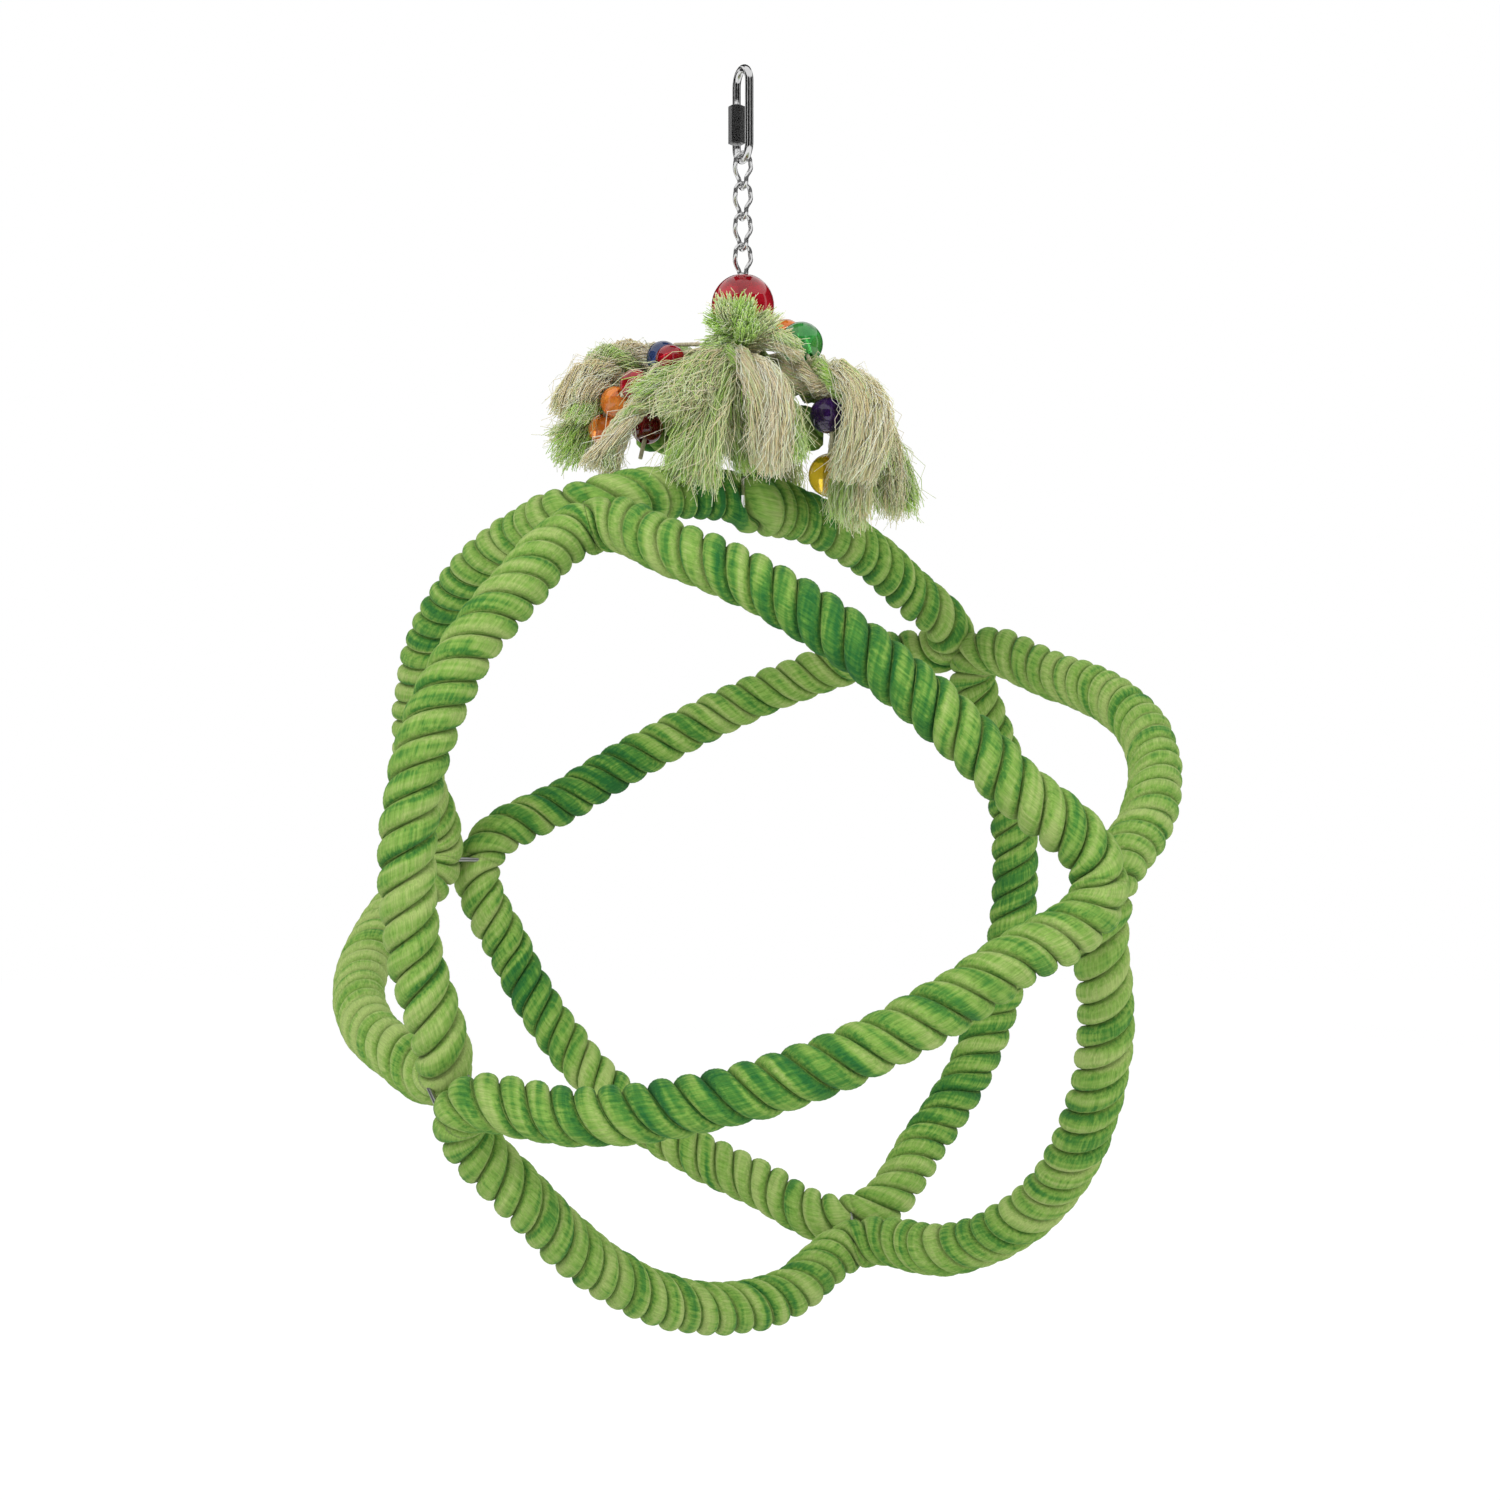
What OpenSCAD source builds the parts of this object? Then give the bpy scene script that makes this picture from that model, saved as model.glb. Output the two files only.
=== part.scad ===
// Hanging rope-ball swing for a large pet bird.
// One long laid cotton rope with a wire core is bent into twelve arcs that make a ball. It passes each of
// six joints twice, and a steel ring binds the two passes there. The ball hangs by a wire stem, a short
// twist-link chain and a quick link. Frayed cotton tassels and strung beads surround the stem.
// Millimetres, +Z up, origin at the inside top of the quick link, front of the swing towards -Y.

/* [Quick link] */
// Rod diameter of the quick link
rod_d = 4; // [3.8:0.1:4.2]
// Overall height of the quick link
quick_h = 47.5; // [47:0.1:48.5]
// Distance between the middles of the two legs
quick_w = 14.5; // [14:0.1:15]
// Width of the sleeve across its flats
sleeve_af = 7; // [6.6:0.1:7.4]
// Length of the sleeve
sleeve_len = 18; // [17:0.5:19]
// Height of the opening that the sleeve closes
gate_gap = 6; // [5:0.5:7]
// Turn of the quick link about the vertical
quick_turn = -65; // [-75:5:-55]

/* [Chain] */
// Wire diameter of the chain
chain_wire = 2.1; // [2:0.05:2.2]
// Radius of a link's bows, to the middle of the wire
bow_r = 3.8; // [3.7:0.05:3.9]
// Distance from one link to the next
link_pitch = 14.7; // [14.5:0.1:14.9]
// Free play where two links meet
link_play = 0.3; // [0.25:0.05:0.35]

/* [Stem and top bead] */
// Wire diameter of the stem
stem_d = 2.5; // [2.3:0.1:2.6]
// Radius of the stem's eye, to the middle of the wire
eye_r = 3; // [2.9:0.1:3.1]
// Diameter of the round bead at the top of the stem
top_bead_d = 30; // [29:0.5:31]
// Bore of the top bead where it takes the eye and the last link
top_bead_mouth = 11; // [10.8:0.1:11.5]

/* [Rope ball] */
// Diameter of the laid rope
rope_d = 25; // [24:0.1:25.2]
// Diameter of the wire core in the rope
core_d = 2.5; // [2:0.1:2.8]
// Distance from the middle of a joint to the middle of each rope pass
kiss = 13.3; // [13.2:0.1:14]
// Height of the ball's middle below the hanging point
ball_drop = 385; // [383:1:387]
// Wire diameter of the rings that bind the joints
ring_d = 2.5; // [2:0.1:2.6]
// Half of a binding ring's width where the wire shows in an open joint
open_half_w = 8.5; // [8:0.5:9]
// Half of a binding ring's width where the joint closes over the wire
closed_half_w = 7; // [7:0.5:8]

/* [Cluster] */
// Diameter of the short thick rope across the stem
cross_d = 24; // [22:0.5:24.5]
// Diameter of the cord wrapping that binds the tassels
wrap_d = 18; // [17:0.5:18]
// Diameter of the cords that carry the small beads
string_d = 2; // [1.5:0.1:2.4]
// Bore of the small beads
bead_bore = 5; // [4.5:0.1:5.5]

/* [Hidden] */
$fn = 48;
rope_sides = 10;
wire_sides = 6;
steps_per_knot = 2;

// Joints of the ball, from its middle
joints = [
    [153, -132, 0], [-124, -125, -86], [116, 125, 113],
    [-152, 135, 2], [57, 65, -183], [-68, -70, 166]
];
// Direction from each joint towards one of its two rope passes
kiss_axes = [
    [20, 93, -29], [39, -74, -55], [74, -35, -58],
    [74, 66, -4], [0, -87, -50], [0, -79, -61]
];
// Each arc of the rope in order: the joint that it leaves, its side of that joint, and its middle
route = [
    [5, 1, [40, -145, 110]], [0, -1, [25, -190, -70]], [1, 1, [-35, -40, -195]],
    [4, 1, [143, -50, -140]], [0, 1, [190, -10, 70]], [2, 1, [140, 140, -60]],
    [4, -1, [-75, 140, -120]], [3, 1, [-15, 180, 80]], [2, -1, [31, 32, 175]],
    [5, -1, [-155, 45, 115]], [3, -1, [-185, 5, -55]], [1, -1, [-135, -140, 60]]
];
// Joints where the two passes stand open
open_joints = [0, 1, 3];
arc_count = len(route);
hung_arc = 8;
near_t = 0.18;
far_t = 0.33;
knots_per_arc = 6;

// Tassel cords: colour, points from the cord wrapping to the tip, and the radius at each point
tassels = [
    ["wheat", [[-10, 2, -138], [-28, 8, -134], [-46, 8, -131], [-65, 3, -132], [-79, -2, -143],
        [-88, -4, -155], [-94, -5, -164]], [4, 4.5, 5.5, 6.5, 8.5, 9.5, 9]],
    ["darkseagreen", [[-9.5, 4, -147], [-36, 17, -147], [-62, 26, -154], [-76, 24, -168],
        [-84, 20, -186]], [4, 4.5, 6, 8, 9]],
    ["wheat", [[-9, -6, -147], [-31, -25, -155], [-49, -36, -166], [-60, -38, -182],
        [-65, -38, -196]], [4, 4.5, 5, 6, 7.5]],
    ["darkseagreen", [[-4, -9.5, -138], [-18, -31, -142], [-29, -43, -160], [-26, -51, -182],
        [-20, -55, -201]], [4, 6, 9.5, 11.5, 11]],
    ["wheat", [[4, -10, -138], [1, -26, -139], [6, -38, -149], [13, -46, -163], [17, -50, -182],
        [18, -50, -198]], [4, 5, 6, 8, 10, 10.5]],
    ["darkseagreen", [[-3, -10, -130], [-9, -22, -129], [-7, -31, -127], [0, -37, -123],
        [4, -39, -118]], [3.4, 5.5, 8, 9.5, 9.5]],
    ["wheat", [[8, -7.5, -130], [13, -22, -127], [20, -28, -131], [27, -30, -139]],
        [3.4, 4, 4.4, 4.2]],
    ["wheat", [[9.5, -5, -138], [22, -16, -143], [35, -22, -145], [49, -26, -151], [59, -28, -163],
        [64, -30, -179], [65, -31, -193]], [4, 5, 6, 7, 8, 9, 9]],
    ["darkseagreen", [[10.5, 0, -147], [28, -6, -149], [44, -4, -156], [53, -8, -172],
        [55, -12, -192], [54, -12, -218]], [4, 4.5, 5, 6.5, 8, 8.5]],
    ["darkseagreen", [[8, 6, -138], [30, 20, -140], [54, 20, -150], [68, 12, -172], [74, 6, -195],
        [76, 4, -211]], [4, 4.5, 5.5, 7.5, 8.5, 8]],
    ["darkseagreen", [[-4.5, 9, -138], [-18, 33, -138], [-28, 45, -162], [-32, 48, -196]],
        [4, 5, 9, 11]],
    ["wheat", [[3, 10, -147], [10, 35, -147], [16, 50, -170], [18, 57, -200]],
        [4, 5, 9, 10]],
    ["darkseagreen", [[0, -10.5, -147], [0, -24, -150], [0, -31, -164], [1, -34, -187]],
        [3.8, 4.2, 5.5, 7]]
];

// Small beads on each bead string: name, colour, middle and diameter
left_beads = [
    ["bead_left_scarlet", "crimson", [-34, -23, -141], 14],
    ["bead_left_ruby", "crimson", [-50.5, -20, -152.5], 15],
    ["bead_left_amber", "darkorange", [-60.5, -6, -158.5], 15],
    ["bead_left_tangerine", "darkorange", [-67, 6.5, -170], 15]
];
inner_beads = [
    ["bead_inner_navy", "midnightblue", [-38, -6, -137.5], 16],
    ["bead_inner_garnet", "darkred", [-45, -21, -173], 15]
];
right_beads = [
    ["bead_right_orange", "darkorange", [21, 20, -122], 15],
    ["bead_right_green", "seagreen", [28, 2, -129.5], 21],
    ["bead_right_plum", "indigo", [40, -21, -167], 17],
    ["bead_right_yellow", "gold", [42, 3, -192.5], 21]
];
left_ends = [[-8, -7, -131], [-64, 9, -188]];
inner_ends = [[-10.5, 0, -131], [-48, -27, -188]];
right_ends = [[4, 10, -131], [42, 5, -210]];
strings = [
    ["left", left_ends, left_beads],
    ["inner", inner_ends, inner_beads],
    ["right", right_ends, right_beads]
];

// Heights on the hanging axis
quick_bow = quick_w / 2;
quick_top = rod_d / 2 - quick_bow;
quick_foot = rod_d - quick_h + rod_d / 2 + quick_bow;
sleeve_z = quick_foot + 2;
gate_z = sleeve_z + 2;
link_len = link_pitch + chain_wire + link_play;
first_link_z = rod_d - quick_h + rod_d + chain_wire / 2 + link_play;
link_count = 4;
last_link_foot = first_link_z - (link_count - 1) * link_pitch - link_len;
eye_top = last_link_foot + (chain_wire + stem_d) / 2 + link_play;
eye_z = eye_top - eye_r;
top_bead_z = -111.4;
mouth_floor = eye_z - eye_r - stem_d / 2 - 1;
wrap_top = -127;
wrap_foot = -152;
cross_z = -171;
cross_len = 88;
cross_x = -8;
loop_r = rope_d / 2 - 0.7;

// Vectors, rings and swept tubes
function unit(v) = v / norm(v);
function across(t, ref) = unit(ref - (ref * t) * t);
function ring(p, t, ref, r, n) =
    let (a = across(t, ref), b = cross(t, a))
    [for (k = [0 : n - 1]) p + r * (cos(360 * k / n) * a + sin(360 * k / n) * b)];
function flat(list) = [for (part = list) each part];
function wall(from, to, n) =
    [for (k = [0 : n - 1]) let (m = (k + 1) % n)
        each [[from + k, to + k, to + m], [from + k, to + m, from + m]]];
function turned(faces) = [for (f = faces) [f[2], f[1], f[0]]];
function path_dir(pts, i) = unit(pts[min(i + 1, len(pts) - 1)] - pts[max(i - 1, 0)]);

// A closed loop of rings, each with n points
module loop_tube(rings) {
    n = len(rings[0]);
    count = len(rings);
    polyhedron(flat(rings), flat([for (i = [0 : count - 1]) wall(i * n, ((i + 1) % count) * n, n)]));
}

// A row of rings with a flat end at each side
module rod_tube(rings) {
    n = len(rings[0]);
    last = (len(rings) - 1) * n;
    sides = flat([for (i = [0 : len(rings) - 2]) wall(i * n, (i + 1) * n, n)]);
    polyhedron(flat(rings), concat(sides,
        [[for (k = [0 : n - 1]) k]],
        [[for (k = [n - 1 : -1 : 0]) last + k]]));
}

// A row of rings with a passage along its middle
module hollow_tube(outer, inner) {
    n = len(outer[0]);
    count = len(outer);
    offset_in = count * n;
    last = (count - 1) * n;
    outside = flat([for (i = [0 : count - 2]) wall(i * n, (i + 1) * n, n)]);
    inside = flat([for (i = [0 : count - 2]) wall(offset_in + i * n, offset_in + (i + 1) * n, n)]);
    start_face = wall(offset_in, 0, n);
    end_face = wall(last, offset_in + last, n);
    polyhedron(flat(concat(outer, inner)), concat(outside, turned(inside), start_face, end_face));
}

// A tube through points whose radius changes, with one fixed side direction
module plume(pts, radii, n) {
    ref = [0.2, 1, 0.3];
    rod_tube([for (i = [0 : len(pts) - 1]) ring(pts[i], path_dir(pts, i), ref, radii[i], n)]);
}

// Turns a shape that lies along +Z so that it lies along dir, and moves it to pos
module aim(pos, dir) {
    d = unit(dir);
    translate(pos) rotate([0, acos(d[2]), atan2(d[1], d[0])]) children();
}

// Route of the rope
function bend(i) =
    let (leg = route[i % arc_count])
    joints[leg[0]] + kiss * leg[1] * unit(kiss_axes[leg[0]]);
function arc_point(i, t) =
    let (a = bend(i), b = bend(i + 1), c = 2 * route[i][2] - (a + b) / 2)
    (1 - t) * (1 - t) * a + 2 * t * (1 - t) * c + t * t * b;
knots = flat([for (i = [0 : arc_count - 1]) concat([bend(i)],
    [for (t = [near_t, far_t, 0.5, 1 - far_t, 1 - near_t]) arc_point(i, t)])]);
knot_count = len(knots);
function knot(i) = knots[(i + knot_count) % knot_count];
function knot_dir(i) = unit(knot(i + 1) - knot(i - 1));
function rope_at(u) =
    let (i = floor(u), t = u - i, p = knot(i), q = knot(i + 1), l = norm(q - p))
    (2 * t * t * t - 3 * t * t + 1) * p + (t * t * t - 2 * t * t + t) * l * knot_dir(i)
    + (3 * t * t - 2 * t * t * t) * q + (t * t * t - t * t) * l * knot_dir(i + 1);
function rope_dir(u) = unit(rope_at(u + 0.02) - rope_at(u - 0.02));
function rope_ring(u, r, n) = ring(rope_at(u), rope_dir(u), rope_at(u), r, n);

// The stem takes the rope at this knot of the hung arc, which lies on the hanging axis
hung_knot = (hung_arc + 1) * knots_per_arc - 2;
hung_point = knot(hung_knot);
ball_mid = [-hung_point[0], -hung_point[1], -ball_drop];
loop_z = hung_point[2] - ball_drop;

module quick_half_bow(z, up) {
    translate([0, 0, z]) rotate([up ? 90 : -90, 0, 0]) rotate_extrude(angle = 180)
        translate([quick_bow, 0]) circle(d = rod_d);
}

module quick_link_body() {
    color("silver") rotate([0, 0, quick_turn]) {
        quick_half_bow(quick_top, true);
        quick_half_bow(quick_foot, false);
        translate([quick_bow, 0, quick_foot]) cylinder(d = rod_d, h = quick_top - quick_foot);
        translate([-quick_bow, 0, quick_foot]) cylinder(d = rod_d, h = gate_z - quick_foot);
        translate([-quick_bow, 0, gate_z + gate_gap])
            cylinder(d = rod_d, h = quick_top - gate_z - gate_gap);
    }
}

module quick_link_sleeve() {
    corner_d = sleeve_af / cos(30);
    color("dimgray") rotate([0, 0, quick_turn]) translate([-quick_bow, 0, sleeve_z]) difference() {
        cylinder(d = corner_d, h = sleeve_len, $fn = 6);
        translate([0, 0, -1]) cylinder(d = rod_d + 0.2, h = sleeve_len + 2);
    }
}

// Points round a link: two flat bows, turned a quarter turn from each other, and two twisted sides
function link_side(s) = -90 * s * s * (3 - 2 * s);
function link_loop() =
    let (leg = link_len - 2 * bow_r, sides = 5)
    concat(
        [for (a = [0 : 30 : 180]) [bow_r * cos(a), 0, -bow_r + bow_r * sin(a)]],
        [for (i = [1 : sides - 1]) let (w = link_side(i / sides))
            [-bow_r * cos(w), -bow_r * sin(w), -bow_r - leg * i / sides]],
        [for (a = [180 : 30 : 360]) [0, -bow_r * cos(a), -bow_r - leg + bow_r * sin(a)]],
        [for (i = [sides - 1 : -1 : 1]) let (w = link_side(i / sides))
            [bow_r * cos(w), bow_r * sin(w), -bow_r - leg * i / sides]]
    );

module chain_link(i) {
    pts = link_loop();
    count = len(pts);
    mid = [0, 0, -link_len / 2];
    color("gainsboro") translate([0, 0, first_link_z - i * link_pitch]) rotate([0, 0, quick_turn + 90])
        loop_tube([for (k = [0 : count - 1])
            ring(pts[k], unit(pts[(k + 1) % count] - pts[(k + count - 1) % count]), pts[k] - mid,
                chain_wire / 2, 8)]);
}

// The stem's loop stands square to the front and lies in the surface of the slanting rope
function loop_point(a) =
    let (w = [0, cos(a), sin(a)])
    [0, 0, loop_z] + loop_r / norm(cross(w, rope_dir(hung_knot))) * w;
loop_top = loop_point(90)[2];

module stem_wire() {
    color("silver") {
        translate([0, 0, eye_z]) rotate([0, 0, quick_turn + 90]) rotate([90, 0, 0])
            rotate_extrude() translate([eye_r, 0]) circle(d = stem_d);
        translate([0, 0, loop_top]) cylinder(d = stem_d, h = eye_z - eye_r - loop_top);
        loop_tube([for (a = [0 : 15 : 345])
            ring(loop_point(a), unit(loop_point(a + 5) - loop_point(a - 5)), [1, 0, 0], stem_d / 2, 12)]);
    }
}

module top_bead() {
    color("crimson") translate([0, 0, top_bead_z]) difference() {
        sphere(d = top_bead_d);
        translate([0, 0, -top_bead_d]) cylinder(d = stem_d + 1.5, h = 2 * top_bead_d);
        translate([0, 0, mouth_floor - top_bead_z]) cylinder(d = top_bead_mouth, h = top_bead_d);
    }
}

module cord_wrapping() {
    color("beige") translate([0, 0, wrap_foot]) difference() {
        cylinder(d = wrap_d, h = wrap_top - wrap_foot);
        translate([0, 0, -1]) cylinder(d = stem_d + 0.2, h = wrap_top - wrap_foot + 2);
    }
}

module cross_rope() {
    color("yellowgreen") difference() {
        translate([cross_x, 0, cross_z]) rotate([0, 90, 0]) intersection() {
            cylinder(d = cross_d, h = cross_len, center = true);
            sphere(d = cross_len);
        }
        translate([0, 0, cross_z - cross_d]) cylinder(d = stem_d + 0.2, h = 2 * cross_d);
    }
}

module rope_arc(i) {
    us = [for (s = [0 : knots_per_arc * steps_per_knot]) i * knots_per_arc + s / steps_per_knot];
    color("yellowgreen") translate(ball_mid) hollow_tube(
        [for (u = us) rope_ring(u, rope_d / 2, rope_sides)],
        [for (u = us) rope_ring(u, core_d / 2 + 0.3, rope_sides)]);
}

module core_wire() {
    color("silver") translate(ball_mid) loop_tube([for (s = [0 : knot_count * steps_per_knot - 1])
        rope_ring(s / steps_per_knot, core_d / 2, wire_sides)]);
}

// An oval ring through both rope passes at a joint, round both wire cores
module binding_ring(j) {
    mid = joints[j];
    along = unit(kiss_axes[j]);
    out = across(along, mid);
    third = cross(along, out);
    half_w = search(j, open_joints) ? open_half_w : closed_half_w;
    leg = kiss - half_w / 2;
    color("silver") translate(ball_mid) multmatrix([
        [along[0], out[0], third[0], mid[0]],
        [along[1], out[1], third[1], mid[1]],
        [along[2], out[2], third[2], mid[2]]
    ]) for (turn = [0, 180]) rotate([0, 0, turn]) {
        translate([leg, 0, 0]) rotate([0, 0, -90]) rotate_extrude(angle = 180)
            translate([half_w, 0]) circle(d = ring_d);
        translate([-leg, half_w, 0]) rotate([0, 90, 0]) cylinder(d = ring_d, h = 2 * leg);
    }
}

module tassel(i) {
    color(tassels[i][0]) plume(tassels[i][1], tassels[i][2], 8);
}

// The string runs straight through each bead, and bends between the beads
function bead_dir(middles, i) = unit(middles[i + 1] - middles[i - 1]);
function string_middles(ends, beads) = concat([ends[0]], [for (b = beads) b[2]], [ends[1]]);
function string_points(ends, beads) =
    let (m = string_middles(ends, beads))
    concat([ends[0]],
        flat([for (i = [1 : len(beads)]) let (d = bead_dir(m, i), h = beads[i - 1][3] / 2)
            [m[i] - (h + 1.5) * d, m[i] + (h + 1.5) * d]]),
        [ends[1]]);

module bead_string(ends, beads) {
    pts = string_points(ends, beads);
    color("beige") plume(pts, [for (p = pts) string_d / 2], 8);
}

module bead(ends, beads, i) {
    d = beads[i][3];
    color(beads[i][1]) aim(beads[i][2], bead_dir(string_middles(ends, beads), i + 1)) difference() {
        sphere(d = d);
        cylinder(d = bead_bore, h = 2 * d, center = true);
    }
}

quick_link_body();
quick_link_sleeve();
for (i = [0 : link_count - 1])
    chain_link(i);
stem_wire();
top_bead();
cord_wrapping();
cross_rope();
for (i = [0 : arc_count - 1])
    rope_arc(i);
core_wire();
for (j = [0 : len(joints) - 1])
    binding_ring(j);
for (i = [0 : len(tassels) - 1])
    tassel(i);
for (s = strings) {
    bead_string(s[1], s[2]);
    for (i = [0 : len(s[2]) - 1])
        bead(s[1], s[2], i);
}
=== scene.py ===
"""Looks of a hanging rope-ball swing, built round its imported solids."""

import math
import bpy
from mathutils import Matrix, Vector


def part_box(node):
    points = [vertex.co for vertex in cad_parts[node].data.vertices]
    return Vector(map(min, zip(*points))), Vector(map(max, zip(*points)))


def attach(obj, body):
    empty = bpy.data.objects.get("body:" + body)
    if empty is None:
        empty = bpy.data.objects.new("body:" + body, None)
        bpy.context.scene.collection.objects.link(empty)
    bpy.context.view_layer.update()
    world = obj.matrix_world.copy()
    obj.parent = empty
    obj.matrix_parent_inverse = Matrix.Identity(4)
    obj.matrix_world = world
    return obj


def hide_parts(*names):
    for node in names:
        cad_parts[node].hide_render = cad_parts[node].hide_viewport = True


bl_info = {
    "name": "Rope Ball Swing",
    "version": (1, 0, 0),
    "blender": (4, 5, 0),
    "location": "View3D > Sidebar > Rope Swing",
    "description": "Laid rope, frayed tassels, beads and bright hardware for a hanging rope-ball swing",
    "category": "Add Mesh",
}

import bmesh
import bpy
import numpy as np
from mathutils import Matrix, Vector

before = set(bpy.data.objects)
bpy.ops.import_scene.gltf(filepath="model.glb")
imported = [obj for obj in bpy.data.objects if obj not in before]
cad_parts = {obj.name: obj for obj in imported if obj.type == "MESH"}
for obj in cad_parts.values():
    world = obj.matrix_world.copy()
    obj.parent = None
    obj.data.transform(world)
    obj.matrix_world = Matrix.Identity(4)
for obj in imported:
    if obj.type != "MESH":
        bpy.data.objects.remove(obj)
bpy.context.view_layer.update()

MM = 0.001

# Joints of the ball from its middle, and the direction from each towards one of its two rope passes
JOINTS = np.array([
    (153, -132, 0), (-124, -125, -86), (116, 125, 113),
    (-152, 135, 2), (57, 65, -183), (-68, -70, 166),
]) * MM
KISS_AXES = np.array([
    (20, 93, -29), (39, -74, -55), (74, -35, -58),
    (74, 66, -4), (0, -87, -50), (0, -79, -61),
], float)
# Each arc in order: joint it leaves, its side of that joint, its middle, and how pale its dye is
ROUTE = [
    (5, 1, (40, -145, 110), 0.03), (0, -1, (25, -190, -70), 0.04), (1, 1, (-35, -40, -195), 0.04),
    (4, 1, (143, -50, -140), 0.06), (0, 1, (190, -10, 70), 0.08), (2, 1, (140, 140, -60), 0.07),
    (4, -1, (-75, 140, -120), 0.07), (3, 1, (-15, 180, 80), 0.05), (2, -1, (31, 32, 175), -0.01),
    (5, -1, (-155, 45, 115), 0.1), (3, -1, (-185, 5, -55), 0.13), (1, -1, (-135, -140, 60), 0.04),
]
# Dark patches of dye: arc, place along it, and half length as a share of the arc
DARK_PATCHES = [
    (0, 0.52, 0.16), (1, 0.64, 0.2), (5, 0.38, 0.1), (5, 0.72, 0.12), (6, 0.78, 0.12), (7, 0.26, 0.16),
    (8, 0.75, 0.06), (9, 0.4, 0.14),
]
PATCH_DEPTH = 0.16
ARCS = len(ROUTE)
# Distance from a joint to the middle of each pass, and how far each soft pass is pressed towards its joint
KISS = 13.3 * MM
PRESSED = np.array((0, 0, 4.5, 0, 3.5, 4)) * MM
# Knots of an arc after its joint, as shares of the arc, the knot in the stem's loop, steps from knot to knot,
# and depth of the ball's middle
ARC_KNOTS = (0.18, 0.33, 0.5, 0.67, 0.82)
KNOTS_PER_ARC = 1 + len(ARC_KNOTS)
HUNG_KNOT = 52
STEPS_PER_KNOT = 40
BALL_DROP = 385 * MM
# Big loose strand beside the stem's loop: its place from the loop along the rope, its half length, the share
# of the lay that it loses, and how much it swells
BULGE_AT = -3 * MM
BULGE_HALF = 15 * MM
BULGE_SLACK = 0.85
BULGE_SWELL = 0.26
# Lengths over which it swells and fades, where the fade starts, and depth over which it lies under the loop
BULGE_RISE = 6 * MM
BULGE_FADE = 12 * MM
BULGE_FULL = 10 * MM
UNDER_DEPTH = 8 * MM
# Stem's loop: share by which it presses the rope in, half width of that dent, and reach along the rope
LOOP_PRESS = 0.1
LOOP_DENT = 2 * MM
LOOP_REACH = 60 * MM
# Strands of the rope: number, points across each, power of their section and of the painted shade in their
# creases, and the waves and size of their uneven thickness
STRANDS = 3
STRAND_POINTS = 16
STRAND_ROUND = 2.2
CREASE_SHADE_POWER = 2.4
UNEVEN_WAVES = (43, 97, 181)
UNEVEN = 0.012
# Dye: length of a patch along a strand, and the step in the pattern from one strand to the next
DYE_LENGTH = 23 * MM
DYE_STEP = 7.31
# Cross rope: points along it, how far right of the solid's ends its own lie, its lay, its thickness against
# the ball's rope, share of that at its tips, length of the tips, and how pale its dye is
CROSS_POINTS = 44
CROSS_ENDS = (1 * MM, 2.5 * MM)
CROSS_LAY = 36 * MM
CROSS_SWELL = 0.94
CROSS_TIP = 0.62
CROSS_TAPER = 10 * MM
CROSS_TONE = 0.02

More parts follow.
